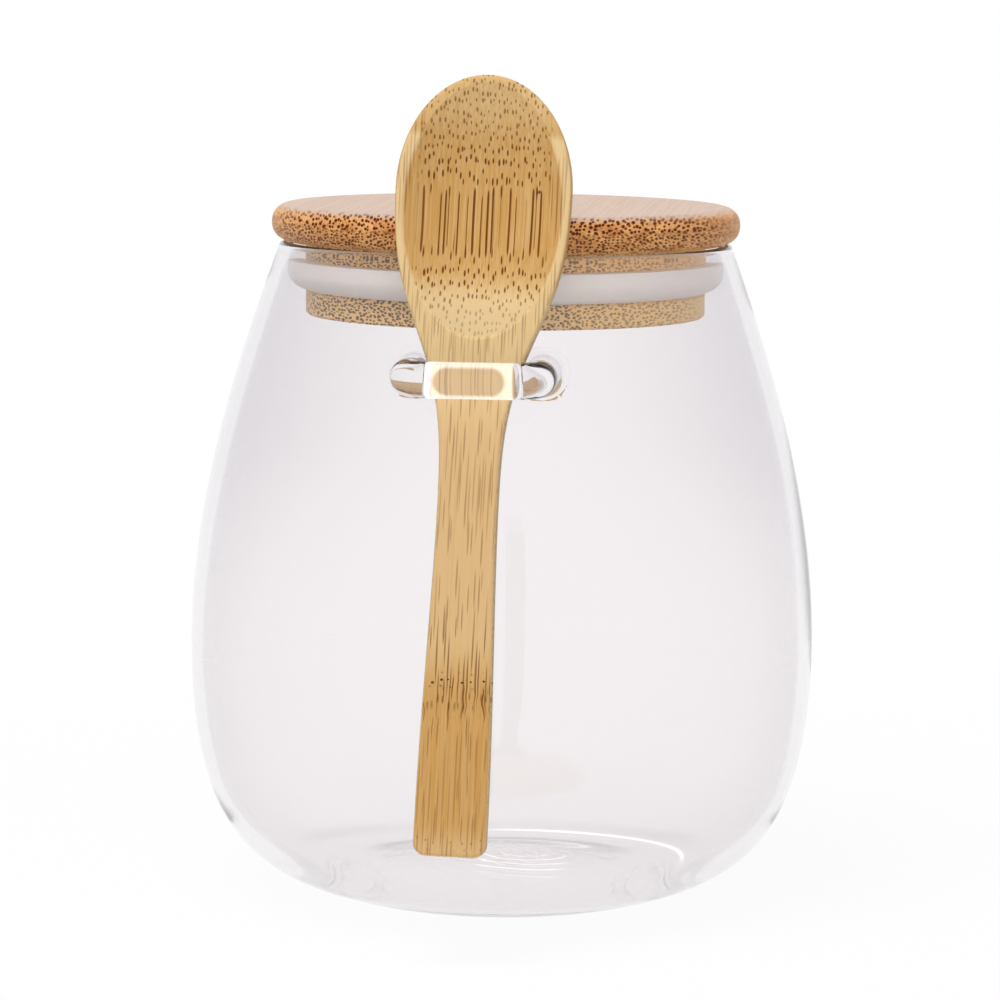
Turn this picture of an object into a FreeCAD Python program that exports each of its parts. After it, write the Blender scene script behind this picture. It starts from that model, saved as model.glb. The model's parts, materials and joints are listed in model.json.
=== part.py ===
"""Sugar jar: a blown glass jar with a spoon loop, a bamboo lid with a seal ring, and a bamboo spoon.

Millimetres, +Z up. The origin is the centre of the ring that the jar stands on, at table level.
The loop and the spoon are on the -Y side.
"""
import FreeCAD
import Part
import math
import os

# Glass jar
JAR_HEIGHT = 115.6
BELLY_DIAMETER = 110.0
BELLY_HEIGHT = 45.0
RIM_DIAMETER = 79.8
SHOULDER_ANGLE = 20.4
WALL = 2.2
FLOOR = 2.9
PUSH_UP = 2.2
FOOT_INNER_RADIUS = 22.0
FOOT_WIDTH = 4.0
FOOT_ROUND = 7.0
HEEL_ANGLE = 14.0

# Where the inside of the floor ends and turns up, and a point on that turn
FLOOR_EDGE_RADIUS = 31.8
FLOOR_EDGE_HEIGHT = 3.15
HEEL_TURN_RADIUS = 35.0
HEEL_TURN_HEIGHT = 4.3

# How far the wall keeps its direction away from the rim, the belly and the foot, as a share of its run
SHOULDER_PULL = 0.355
BELLY_PULL_UP = 0.313
BELLY_PULL_DOWN = 0.84
HEEL_PULL = 0.52

# Shares of the lower (0) and the upper (1) wall curve where the glass thickness is set
INSIDE_STATIONS = ((0, (0.4, 0.6, 0.8)), (1, (0.0, 0.3, 0.6, 0.85)))

# Spoon loop of glass rod, fused to the jar
LOOP_BELOW_RIM = 19.1
LOOP_ROD = 6.1
LOOP_INNER_WIDTH = 15.4
LOOP_THROAT = 9.6
LOOP_PLAY = 2.0
LOOP_BEND_RADIUS = 4.3
LOOP_WELD_RADIUS = 1.9

# Bamboo lid: a round-edged slab over a grooved plug
LID_OVERHANG = 1.2
LID_THICKNESS = 6.4
LID_EDGE_ROUND = 3.0
PLUG_CLEARANCE = 2.6
PLUG_UPPER_DISC = 3.4
PLUG_GROOVE_WIDTH = 5.4
PLUG_GROOVE_DEPTH = 2.8
PLUG_LOWER_DISC = 4.3
PLUG_CHAMFER = 0.4

# Seal ring, held in the groove of the plug
SEAL_FIT = 0.05
SEAL_LIP_HEIGHT = 1.6
SEAL_SQUEEZE_GAP = 0.3

# Bamboo spoon
SPOON_LENGTH = 129.0
SPOON_WIDTH = 29.2
SPOON_NECK_WIDTH = 9.9
SPOON_END_WIDTH = 12.1
SPOON_NECK_THICKNESS = 4.6
SPOON_END_THICKNESS = 3.8
SPOON_TIP_THICKNESS = 2.4
SPOON_END_CORNER = 2.2
SPOON_EDGE_ROUND = 0.6
SPOON_BACK_ROUND = 1.2
SPOON_TILT = 1.6
BOWL_TIP_LENGTH = 19.0
BOWL_END = 43.3
BOWL_RIM = 1.3
BOWL_DEPTH = 6.4
HOLLOW_END = 43.9
HOLLOW_WIDTH = 27.0
HOLLOW_DEPTH = 3.9

# The spoon's outline: how far its width has grown from neck to end or bowl, and where
HANDLE_SWELL = 0.45
HANDLE_STATION = 0.27
NECK_STATION = 0.46
SHOULDER_FLARE = ((0.05, 0.12), (0.24, 0.05), (0.485, 0.0))
CHEEK_FLARE = 0.86
CHEEK_STATION = 0.43
TIP_BACK_SLOPE = 0.08
BACK_START = 0.8

# Clearances between pieces as they stand together
LID_SEAT = 0.1
SPOON_SEAT = 0.3
SHOULDER_SEAT = 0.3408

BELLY_RADIUS = BELLY_DIAMETER / 2
RIM_RADIUS = RIM_DIAMETER / 2
LOOP_HEIGHT = JAR_HEIGHT - LOOP_BELOW_RIM
FOOT_RADIUS = FOOT_INNER_RADIUS + FOOT_WIDTH
ROD_RADIUS = LOOP_ROD / 2
LID_RADIUS = RIM_RADIUS + LID_OVERHANG
LID_BOTTOM = JAR_HEIGHT + LID_SEAT
PLUG_RADIUS = RIM_RADIUS - WALL - PLUG_CLEARANCE
GROOVE_TOP = LID_BOTTOM - PLUG_UPPER_DISC
GROOVE_BOTTOM = GROOVE_TOP - PLUG_GROOVE_WIDTH

# Edges that stay under this height lie in the plane of the foot
FLAT = 0.01

UP = FreeCAD.Vector(0, 0, 1)
ORIGIN = FreeCAD.Vector(0, 0, 0)


def at(radius, height):
    """A point of an outline in the XZ plane."""
    return FreeCAD.Vector(radius, 0, height)


def bezier(*poles):
    """A Bezier curve with these poles."""
    curve = Part.BezierCurve()
    curve.setPoles(list(poles))
    return curve


def spline(points, start, end):
    """A smooth curve through points, with its direction at both ends."""
    curve = Part.BSplineCurve()
    curve.interpolate(Points=points, InitialTangent=start, FinalTangent=end)
    return curve


def lines(*points):
    """Straight edges from point to point."""
    return [Part.LineSegment(a, b).toShape() for a, b in zip(points, points[1:])]


def arc(start, middle, end):
    """An edge along the circle through three points."""
    return Part.Arc(start, middle, end).toShape()


def turned(edges, centre=ORIGIN):
    """The solid that a closed outline makes when it turns about a vertical axis."""
    return Part.Face(Part.Wire(Part.__sortEdges__(edges))).revolve(centre, UP, 360)


# ---------------------------------------------------------------- glass jar


def wall_curves():
    """The outside of the jar from foot to belly, and from belly to rim."""
    heel = math.radians(HEEL_ANGLE)
    heel_pull = HEEL_PULL * (BELLY_RADIUS - FOOT_RADIUS)
    shoulder = math.radians(SHOULDER_ANGLE)
    upper_run = JAR_HEIGHT - BELLY_HEIGHT
    pull = SHOULDER_PULL * upper_run
    rim_height = JAR_HEIGHT - WALL / 2
    lower = bezier(
        at(FOOT_RADIUS, 0),
        at(FOOT_RADIUS + heel_pull * math.cos(heel), heel_pull * math.sin(heel)),
        at(BELLY_RADIUS, BELLY_HEIGHT * (1 - BELLY_PULL_DOWN)),
        at(BELLY_RADIUS, BELLY_HEIGHT),
    )
    upper = bezier(
        at(BELLY_RADIUS, BELLY_HEIGHT),
        at(BELLY_RADIUS, BELLY_HEIGHT + BELLY_PULL_UP * upper_run),
        at(RIM_RADIUS + pull * math.sin(shoulder), rim_height - pull * math.cos(shoulder)),
        at(RIM_RADIUS, rim_height),
    )
    return lower, upper


def inside_curve():
    """The inside of the jar from the middle of its floor to the rim.

    The floor follows the push-up and turns up inside the heel, and the wall keeps its thickness of glass.
    """
    lower, upper = wall_curves()
    foot_middle = FOOT_INNER_RADIUS + FOOT_WIDTH / 2
    points = [
        at(0, FLOOR + PUSH_UP),
        at(foot_middle / 2, FLOOR + 3 / 4 * PUSH_UP),
        at(foot_middle, FLOOR),
        at(FLOOR_EDGE_RADIUS, FLOOR_EDGE_HEIGHT),
        at(HEEL_TURN_RADIUS, HEEL_TURN_HEIGHT),
    ]
    for curve, shares in INSIDE_STATIONS:
        wall = (lower, upper)[curve]
        for share in shares:
            along = wall.tangent(share)[0]
            points.append(wall.value(share) + at(-along.z, along.x) * WALL)
    points.append(at(RIM_RADIUS - WALL, JAR_HEIGHT - WALL / 2))
    return spline(points, at(1, 0), upper.tangent(1.0)[0])


def height_on(curve, reading, wanted):
    """The point of a rising curve where its reading reaches the wanted value."""
    low, high = curve.FirstParameter, curve.LastParameter
    for _ in range(50):
        middle = (low + high) / 2
        if reading(curve.value(middle)) < wanted:
            low = middle
        else:
            high = middle
    return curve.value(low)


def wall_radius(curve, height):
    """The radius of a wall curve at a height."""
    return height_on(curve, lambda point: point.z, height).x


def jar_body():
    """The blown jar: a pushed-up base, a flat foot ring, the wall and a fire-rounded rim."""
    lower, upper = wall_curves()
    inside = inside_curve()
    base_middle = at(0, PUSH_UP)
    foot_inside = at(FOOT_INNER_RADIUS, 0)
    push_up = bezier(base_middle, at(FOOT_INNER_RADIUS / 2, PUSH_UP), foot_inside)
    rim = arc(upper.value(1.0), at(RIM_RADIUS - WALL / 2, JAR_HEIGHT), inside.value(inside.LastParameter))
    body = turned(
        [push_up.toShape(), lower.toShape(), upper.toShape(), rim, inside.toShape()]
        + lines(foot_inside, at(FOOT_RADIUS, 0))
        + lines(at(0, PUSH_UP + FLOOR), base_middle)
    )
    foot = [edge for edge in body.Edges if edge.BoundBox.ZMax < FLAT]
    return body.makeFillet(FOOT_ROUND, foot)


def wall_core():
    """A cone about the axis whose side runs inside the thickness of the wall, at the loop's height."""
    outside = wall_curves()[1]
    low = LOOP_HEIGHT - LOOP_ROD
    high = LOOP_HEIGHT + LOOP_ROD
    return Part.makeCone(
        wall_radius(outside, low) - WALL / 2, wall_radius(outside, high) - WALL / 2, high - low, at(0, low)
    )


def loop_distance():
    """How far the front rod of the loop is from the jar's axis, for the spoon to clear lid and wall."""
    front, _ = spoon_stand()
    return front + LOOP_PLAY + ROD_RADIUS


def loop_rod():
    """The bent rod of the loop, with both legs running into the jar's wall."""
    side = (LOOP_INNER_WIDTH + LOOP_ROD) / 2
    front = -loop_distance()
    root = -wall_radius(inside_curve(), LOOP_HEIGHT) / 2
    bend = LOOP_BEND_RADIUS
    shrink = bend * (1 - math.sqrt(0.5))

    def bend_edge(hand):
        return arc(
            FreeCAD.Vector(hand * side, front + bend, LOOP_HEIGHT),
            FreeCAD.Vector(hand * (side - shrink), front + shrink, LOOP_HEIGHT),
            FreeCAD.Vector(hand * (side - bend), front, LOOP_HEIGHT),
        )

    def leg(hand):
        return lines(
            FreeCAD.Vector(hand * side, root, LOOP_HEIGHT),
            FreeCAD.Vector(hand * side, front + bend, LOOP_HEIGHT),
        )

    bar = lines(
        FreeCAD.Vector(bend - side, front, LOOP_HEIGHT),
        FreeCAD.Vector(side - bend, front, LOOP_HEIGHT),
    )
    path = Part.Wire(leg(-1) + [bend_edge(-1)] + bar + [bend_edge(1)] + leg(1))
    start = FreeCAD.Vector(-side, root, LOOP_HEIGHT)
    section = Part.Wire(Part.Circle(start, FreeCAD.Vector(0, -1, 0), ROD_RADIUS).toShape())
    return path.makePipeShell([section], True, False)


def glass_jar():
    """The jar with its loop: one piece of glass, with the welds at the loop's feet drawn out."""
    glass = jar_body().fuse(loop_rod().cut(wall_core())).removeSplitter()
    side = (LOOP_INNER_WIDTH + LOOP_ROD) / 2
    welds = [
        edge
        for edge in glass.Edges
        if abs(edge.BoundBox.Center.z - LOOP_HEIGHT) < ROD_RADIUS
        and abs(abs(edge.BoundBox.Center.x) - side) < ROD_RADIUS / 2
        and edge.BoundBox.YMax > 1 - wall_radius(wall_curves()[1], LOOP_HEIGHT)
        and edge.BoundBox.ZLength > ROD_RADIUS
    ]
    return glass.makeFillet(LOOP_WELD_RADIUS, welds)


# ---------------------------------------------------------------- lid and seal


def bamboo_lid():
    """The lid, turned from one board: slab, upper disc, groove and lower disc."""
    top = LID_BOTTOM + LID_THICKNESS
    plug_bottom = GROOVE_BOTTOM - PLUG_LOWER_DISC
    groove_radius = PLUG_RADIUS - PLUG_GROOVE_DEPTH
    corner = LID_EDGE_ROUND
    shrink = corner * (1 - math.sqrt(0.5))
    chamfer = PLUG_CHAMFER
    edges = lines(
        at(0, top),
        at(LID_RADIUS - corner, top),
    )
    edges.append(arc(
        at(LID_RADIUS - corner, top), at(LID_RADIUS - shrink, top - shrink), at(LID_RADIUS, top - corner)
    ))
    edges += lines(at(LID_RADIUS, top - corner), at(LID_RADIUS, LID_BOTTOM + corner))
    edges.append(arc(
        at(LID_RADIUS, LID_BOTTOM + corner),
        at(LID_RADIUS - shrink, LID_BOTTOM + shrink),
        at(LID_RADIUS - corner, LID_BOTTOM),
    ))
    edges += lines(
        at(LID_RADIUS - corner, LID_BOTTOM),
        at(PLUG_RADIUS, LID_BOTTOM),
        at(PLUG_RADIUS, GROOVE_TOP),
        at(groove_radius, GROOVE_TOP),
        at(groove_radius, GROOVE_BOTTOM),
        at(PLUG_RADIUS - chamfer, GROOVE_BOTTOM),
        at(PLUG_RADIUS, GROOVE_BOTTOM - chamfer),
        at(PLUG_RADIUS, plug_bottom + chamfer),
        at(PLUG_RADIUS - chamfer, plug_bottom),
        at(0, plug_bottom),
        at(0, top),
    )
    return turned(edges)


def seal_ring():
    """The seal: a band that fills the groove, with a fin that bells out to the glass below the rim."""
    inner = PLUG_RADIUS - PLUG_GROOVE_DEPTH + SEAL_FIT
    low = GROOVE_BOTTOM + SEAL_FIT
    high = GROOVE_TOP - SEAL_FIT
    lip = high - SEAL_LIP_HEIGHT
    reach = wall_radius(inside_curve(), high) - SEAL_SQUEEZE_GAP
    belly = bezier(at(PLUG_RADIUS, low), at(reach, low + (lip - low) / 4), at(reach, lip))
    band = lines(at(reach, lip), at(reach, high), at(inner, high), at(inner, low), at(PLUG_RADIUS, low))
    return turned([belly.toShape()] + band)


# ---------------------------------------------------------------- spoon


def spoon_side():
    """The outline of the spoon on its +X side, from its end up to the widest place of the bowl."""
    neck = SPOON_NECK_WIDTH / 2
    bowl = SPOON_WIDTH / 2
    end = SPOON_END_WIDTH / 2
    widest = SPOON_LENGTH - BOWL_TIP_LENGTH
    bowl_end = SPOON_LENGTH - BOWL_END
    return spline(
        [
            at(end, SPOON_END_CORNER),
            at(neck + HANDLE_SWELL * (end - neck), HANDLE_STATION * SPOON_LENGTH),
            at(neck, NECK_STATION * SPOON_LENGTH),
        ]
        + [at(neck + flare * (bowl - neck), bowl_end - drop * SPOON_LENGTH) for flare, drop in SHOULDER_FLARE]
        + [
            at(neck + CHEEK_FLARE * (bowl - neck), bowl_end + CHEEK_STATION * (widest - bowl_end)),
            at(bowl, widest),
        ],
        UP,
        UP,
    )


def spoon_outline():
    """The face that the spoon shows from the front: elliptic tip, shouldered bowl and square end."""
    bowl = SPOON_WIDTH / 2
    end = SPOON_END_WIDTH / 2
    widest = SPOON_LENGTH - BOWL_TIP_LENGTH
    corner = SPOON_END_CORNER
    shrink = corner * (1 - math.sqrt(0.5))
    right = spoon_side().toShape()
    left = right.mirror(ORIGIN, FreeCAD.Vector(1, 0, 0))
    ellipse = Part.Ellipse(at(0, SPOON_LENGTH), at(bowl, widest), at(0, widest))
    tip = Part.ArcOfEllipse(ellipse, -math.pi / 2, math.pi / 2).toShape()
    corners = [
        arc(at(hand * end, corner), at(hand * (end - shrink), shrink), at(hand * (end - corner), 0))
        for hand in (1, -1)
    ]
    foot = lines(at(end - corner, 0), at(corner - end, 0))
    return Part.Face(Part.Wire(Part.__sortEdges__([right, left, tip] + corners + foot)))


def board_side():
    """The spoon seen from its side without the fullness of its bowl, as wide as the bowl."""
    half = SPOON_WIDTH

    def seen(depth, height):
        return FreeCAD.Vector(-half, depth, height)

    back = spline(
        [
            seen(SPOON_END_THICKNESS, 0),
            seen(SPOON_NECK_THICKNESS, SPOON_LENGTH / 2),
            seen(SPOON_TIP_THICKNESS, SPOON_LENGTH),
        ],
        UP,
        FreeCAD.Vector(0, -TIP_BACK_SLOPE, 1),
    )
    edges = [back.toShape()]
    edges += lines(seen(SPOON_TIP_THICKNESS, SPOON_LENGTH), seen(0, SPOON_LENGTH), seen(0, 0))
    edges += lines(seen(0, 0), seen(SPOON_END_THICKNESS, 0))
    face = Part.Face(Part.Wire(Part.__sortEdges__(edges)))
    return face.extrude(FreeCAD.Vector(2 * half, 0, 0))


def dish(bottom, top, half_width, depth):
    """A long shallow dome below the spoon's front plane, turned about an axis in front of the spoon."""
    axis_height = (half_width ** 2 - depth ** 2) / (2 * depth)
    middle = (bottom + top) / 2
    centre = FreeCAD.Vector(0, -axis_height, 0)

    def seen(deep, height):
        return FreeCAD.Vector(0, deep, height)

    edges = [arc(seen(0, bottom), seen(depth, middle), seen(0, top))]
    edges += lines(seen(0, top), seen(-axis_height, top), seen(-axis_height, bottom), seen(0, bottom))
    return turned(edges, centre)


def softened(slab):
    """The slab with its long edges rounded: a little along the front, more along the back."""
    front = [edge for edge in slab.Edges if edge.BoundBox.YMax < SPOON_EDGE_ROUND]
    back = [edge for edge in slab.Edges if edge.BoundBox.YMin > SPOON_EDGE_ROUND]
    return slab.makeFillet(SPOON_EDGE_ROUND, front).makeFillet(SPOON_BACK_ROUND, back)


def spoon_upright():
    """The spoon standing on its end: front face in the XZ plane, back towards +Y."""
    hollow_bottom = SPOON_LENGTH - HOLLOW_END
    hollow_top = SPOON_LENGTH - BOWL_RIM
    outline = spoon_outline().extrude(FreeCAD.Vector(0, 2 * BOWL_DEPTH, 0))
    slab = softened(outline.common(board_side()).Solids[0])
    fullness = dish(
        hollow_bottom - BOWL_RIM, hollow_top + BOWL_RIM, SPOON_WIDTH / 2 + BOWL_RIM, BOWL_DEPTH
    )
    back_from = FreeCAD.Vector(-SPOON_WIDTH / 2, BACK_START * SPOON_TIP_THICKNESS, 0)
    back_half = Part.makeBox(SPOON_WIDTH, BOWL_DEPTH, SPOON_LENGTH, back_from)
    body = slab.fuse(fullness.common(back_half))
    return body.cut(dish(hollow_bottom, hollow_top, HOLLOW_WIDTH / 2, HOLLOW_DEPTH)).removeSplitter()


def spoon_stand():
    """Where the spoon stands: how far its front face is from the axis at the loop, and its lean.

    The front edges bear on the loop's rounded corners, the play behind its bar. The back of the handle
    rests on the belly, and the bowl clears the lid.
    """
    lower, upper = wall_curves()
    belly = [upper.value(share / 40) for share in range(41)]
    belly = [point for point in belly if point.z < LOOP_HEIGHT - ROD_RADIUS]
    front = wall_radius(upper, LOOP_HEIGHT) + LOOP_THROAT - LOOP_PLAY
    lean = 0.0
    for _ in range(12):
        back = front - SPOON_NECK_THICKNESS
        lean = max(math.atan((point.x + SPOON_SEAT - back) / (LOOP_HEIGHT - point.z)) for point in belly)
        lid_rise = LID_BOTTOM + LID_THICKNESS - LOOP_HEIGHT
        clear_of_lid = LID_RADIUS + BOWL_DEPTH / math.cos(lean) + lid_rise * math.tan(lean) + SPOON_SEAT
        front = max(front, clear_of_lid)
    return front, lean


def bamboo_spoon():
    """The spoon in its loop: shoulders on the legs of the loop, tilted and leaning on the jar.

    The more it leans, the lower its back edges hang, so the higher it sits.
    """
    front, lean = spoon_stand()
    wedge = height_on(spoon_side(), lambda point: point.x, LOOP_INNER_WIDTH / 2 - SHOULDER_SEAT).z
    back_drop = SPOON_NECK_THICKNESS * math.tan(lean)
    spoon = spoon_upright()
    spoon.translate(FreeCAD.Vector(0, 0, back_drop - wedge))
    spoon.rotate(ORIGIN, FreeCAD.Vector(1, 0, 0), -math.degrees(lean))
    spoon.rotate(ORIGIN, FreeCAD.Vector(0, 1, 0), SPOON_TILT)
    spoon.translate(FreeCAD.Vector(0, -front, LOOP_HEIGHT))
    return spoon


PIECES = {
    "glass_jar": glass_jar,
    "bamboo_lid": bamboo_lid,
    "seal_ring": seal_ring,
    "bamboo_spoon": bamboo_spoon,
}

os.makedirs("parts", exist_ok=True)
for name, make in PIECES.items():
    piece = make()
    solid = piece.Solids[0]
    solid.exportStep("parts/" + name + ".step")
    box = solid.BoundBox
    print(name, len(piece.Solids), "solid", solid.isValid(), round(solid.Volume / 1000, 2), "cm3",
          [round(value, 2) for value in (box.XMin, box.XMax, box.YMin, box.YMax, box.ZMin, box.ZMax)])
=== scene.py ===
"""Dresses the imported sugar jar: clear glass, bamboo lid, silicone seal and bamboo spoon."""

import json
import logging
import math
from dataclasses import dataclass, field
from enum import Enum
from typing import Mapping, Optional, Sequence, Union

import bpy
import numpy as np
from mathutils import Matrix, Quaternion, Vector

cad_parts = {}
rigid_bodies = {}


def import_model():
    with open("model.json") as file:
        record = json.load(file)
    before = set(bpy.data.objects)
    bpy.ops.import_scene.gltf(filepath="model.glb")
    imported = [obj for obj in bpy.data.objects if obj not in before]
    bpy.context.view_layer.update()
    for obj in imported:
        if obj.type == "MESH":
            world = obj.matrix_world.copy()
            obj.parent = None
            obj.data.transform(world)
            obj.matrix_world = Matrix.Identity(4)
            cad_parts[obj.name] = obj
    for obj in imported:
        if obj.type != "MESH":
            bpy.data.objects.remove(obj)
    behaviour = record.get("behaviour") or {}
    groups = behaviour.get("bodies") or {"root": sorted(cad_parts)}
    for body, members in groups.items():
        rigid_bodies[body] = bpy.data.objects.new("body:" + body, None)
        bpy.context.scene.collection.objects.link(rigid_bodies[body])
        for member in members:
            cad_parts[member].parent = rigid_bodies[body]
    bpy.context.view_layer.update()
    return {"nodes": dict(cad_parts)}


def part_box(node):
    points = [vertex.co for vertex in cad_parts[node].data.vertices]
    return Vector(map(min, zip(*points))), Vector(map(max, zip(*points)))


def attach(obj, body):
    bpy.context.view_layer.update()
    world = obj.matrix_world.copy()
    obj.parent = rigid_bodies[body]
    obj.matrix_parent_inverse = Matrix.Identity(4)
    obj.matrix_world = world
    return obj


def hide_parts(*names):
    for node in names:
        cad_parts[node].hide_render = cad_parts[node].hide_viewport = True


for leftover in list(bpy.data.objects):
    bpy.data.objects.remove(leftover)
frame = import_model()

LOG = logging.getLogger("sugar_jar")
MM = 0.001
PER_MM = 1000.0
Colour = tuple[float, float, float, float]
Span = tuple[float, float]
BLACK: Colour = (0.0, 0.0, 0.0, 1.0)
WHITE: Colour = (1.0, 1.0, 1.0, 1.0)


def colour(red: float, green: float, blue: float) -> Colour:
    """Turns a display colour into a linear one.

    Args:
        red, green, blue: the display values, 0 to 255.

    Returns:
        The linear colour with full opacity.
    """

    def linear(value: float) -> float:
        """One channel, from display to linear."""
        share = value / 255
        return share / 12.92 if share <= 0.04045 else ((share + 0.055) / 1.055) ** 2.4

    return (linear(red), linear(green), linear(blue), 1.0)


class Slot(Enum):
    """The record's material slots."""

    GLASS = "clear_glass"
    LID = "lid_bamboo"
    SEAL = "silicone"
    SPOON = "spoon_bamboo"


# ---------------------------------------------------------------- shader building


class Flow:
    """A value that flows through a shader. Arithmetic on it adds Math nodes."""

    def __init__(self, tree: "Tree", socket: bpy.types.NodeSocket) -> None:
        """Wraps an output socket of a node in a tree."""
        self.tree = tree
        self.socket = socket

    def math(self, operation: str, *values: "Number") -> "Flow":
        """Returns what a Math node makes of these values."""
        return self.tree.node("ShaderNodeMath", {"operation": operation}, dict(enumerate(values)))

    def __add__(self, other: "Number") -> "Flow":
        """self + other."""
        return self.math("ADD", self, other)

    def __radd__(self, other: "Number") -> "Flow":
        """other + self."""
        return self.math("ADD", other, self)

    def __sub__(self, other: "Number") -> "Flow":
        """self - other."""
        return self.math("SUBTRACT", self, other)

    def __rsub__(self, other: "Number") -> "Flow":
        """other - self."""
        return self.math("SUBTRACT", other, self)

    def __mul__(self, other: "Number") -> "Flow":
        """self * other."""
        return self.math("MULTIPLY", self, other)

    def __rmul__(self, other: "Number") -> "Flow":
        """other * self."""
        return self.math("MULTIPLY", other, self)

    def __truediv__(self, other: "Number") -> "Flow":
        """self / other."""
        return self.math("DIVIDE", self, other)

    def __pow__(self, other: "Number") -> "Flow":
        """self ** other."""
        return self.math("POWER", self, other)

    def __abs__(self) -> "Flow":
        """abs(self)."""
        return self.math("ABSOLUTE", self)

    def at_most(self, other: "Number") -> "Flow":
        """The smaller of the two."""
        return self.math("MINIMUM", self, other)

    def at_least(self, other: "Number") -> "Flow":
        """The larger of the two."""
        return self.math("MAXIMUM", self, other)

    def rise(self, start: "Number", end: "Number") -> "Flow":
        """Goes smoothly from 0 where this value is start to 1 where it is end.

        Args:
            start: the reading below which the result is 0.
            end: the reading above which the result is 1.

        Returns:
            The smooth step.
        """
        return self.tree.node(
            "ShaderNodeMapRange",
            {"interpolation_type": "SMOOTHSTEP"},
            {"Value": self, "From Min": start, "From Max": end},
        )

    def bump(self, centre: float, half_width: float) -> "Flow":
        """A smooth hump, 1 at the centre and 0 from half_width away."""
        return abs(self - centre).rise(half_width, 0.0)


Number = Union[Flow, float]
Input = Union[Flow, float, Sequence[float]]


class Tree:
    """The node tree of a material or of the world."""

    def __init__(self, owner: Union[bpy.types.Material, bpy.types.World]) -> None:
        """Empties the owner's nodes."""
        owner.use_nodes = True
        self.nodes = owner.node_tree.nodes
        self.links = owner.node_tree.links
        self.nodes.clear()

    def node(
        self,
        kind: str,
        settings: Optional[Mapping[str, object]] = None,
        inputs: Optional[Mapping[Union[str, int], Input]] = None,
        output: Union[str, int] = 0,
    ) -> Optional[Flow]:
        """Adds a node.

        Args:
            kind: the node's type.
            settings: its properties, set before its sockets.
            inputs: values or flows for its sockets, by name or number.
            output: the output socket that is wanted.

        Returns:
            That output as a flow, or None for a node without outputs.
        """
        node = self.nodes.new(kind)
        for name, value in (settings or {}).items():
            setattr(node, name, value)
        for key, value in (inputs or {}).items():
            if isinstance(value, Flow):
                self.links.new(value.socket, node.inputs[key])
            else:
                node.inputs[key].default_value = value
        return Flow(self, node.outputs[output]) if node.outputs else None

    def position(self) -> Flow:
        """The place on the object, in metres, which is also its place in the frame."""
        return self.node("ShaderNodeTexCoord", output="Object")

    def place_in_mm(self) -> tuple[Flow, Flow, Flow]:
        """The place in mm: to the right, to the back and up."""
        place = self.position()
        return tuple(self.dot(place, axis) for axis in ((PER_MM, 0, 0), (0, PER_MM, 0), (0, 0, PER_MM)))

    def dot(self, vector: Flow, axis: Sequence[float]) -> Flow:
        """The length of a vector along an axis."""
        return self.node(
            "ShaderNodeVectorMath", {"operation": "DOT_PRODUCT"}, {0: vector, 1: tuple(axis)}, "Value"
        )

    def vector(self, x: Number, y: Number, z: Number) -> Flow:
        """Three numbers as a vector."""
        return self.node("ShaderNodeCombineXYZ", None, {0: x, 1: y, 2: z})

    def noise(self, place: Flow, detail: float = 2.0, roughness: float = 0.5, scale: float = 1.0) -> Flow:
        """Smooth noise, about 0 to 1, at a place.

        Args:
            place: where it is read.
            detail: how many finer octaves are added.
            roughness: how strong those are.
            scale: how many waves it has per unit.

        Returns:
            The noise value.
        """
        return self.node(
            "ShaderNodeTexNoise",
            {"noise_dimensions": "3D"},
            {"Vector": place, "Scale": scale, "Detail": detail, "Roughness": roughness},
            "Fac",
        )

    def mix(self, factor: Number, first: Input, second: Input) -> Flow:
        """A colour between two others."""
        return self.node(
            "ShaderNodeMix", {"data_type": "RGBA"}, {0: factor, 6: first, 7: second}, 2
        )

    def blend(self, factor: Number, first: Number, second: Number) -> Flow:
        """A number between two others."""
        return self.node("ShaderNodeMix", {"data_type": "FLOAT"}, {0: factor, 2: first, 3: second}, 0)

    def mix_shader(self, factor: Number, first: Flow, second: Flow) -> Flow:
        """A shader between two others."""
        return self.node("ShaderNodeMixShader", None, {0: factor, 1: first, 2: second})

    def background_rays(self) -> Flow:
        """1 for the rays that show a background: from the camera, off gloss, or through glass."""

        def ray(name: str) -> Flow:
            """One kind of ray."""
            return self.node("ShaderNodeLightPath", None, None, name)

        return (ray("Is Camera Ray") + ray("Is Glossy Ray") + ray("Is Transmission Ray")).at_most(1.0)

    def finish(self, surface: Flow) -> None:
        """Links the surface shader to the material's output."""
        self.node("ShaderNodeOutputMaterial", None, {"Surface": surface})


def new_material(name: str) -> tuple[bpy.types.Material, Tree]:
    """Makes an empty material.

    Args:
        name: its name.

    Returns:
        The material and its tree.
    """
    material = bpy.data.materials.new(name)
    return material, Tree(material)


# ---------------------------------------------------------------- finishes


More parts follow.
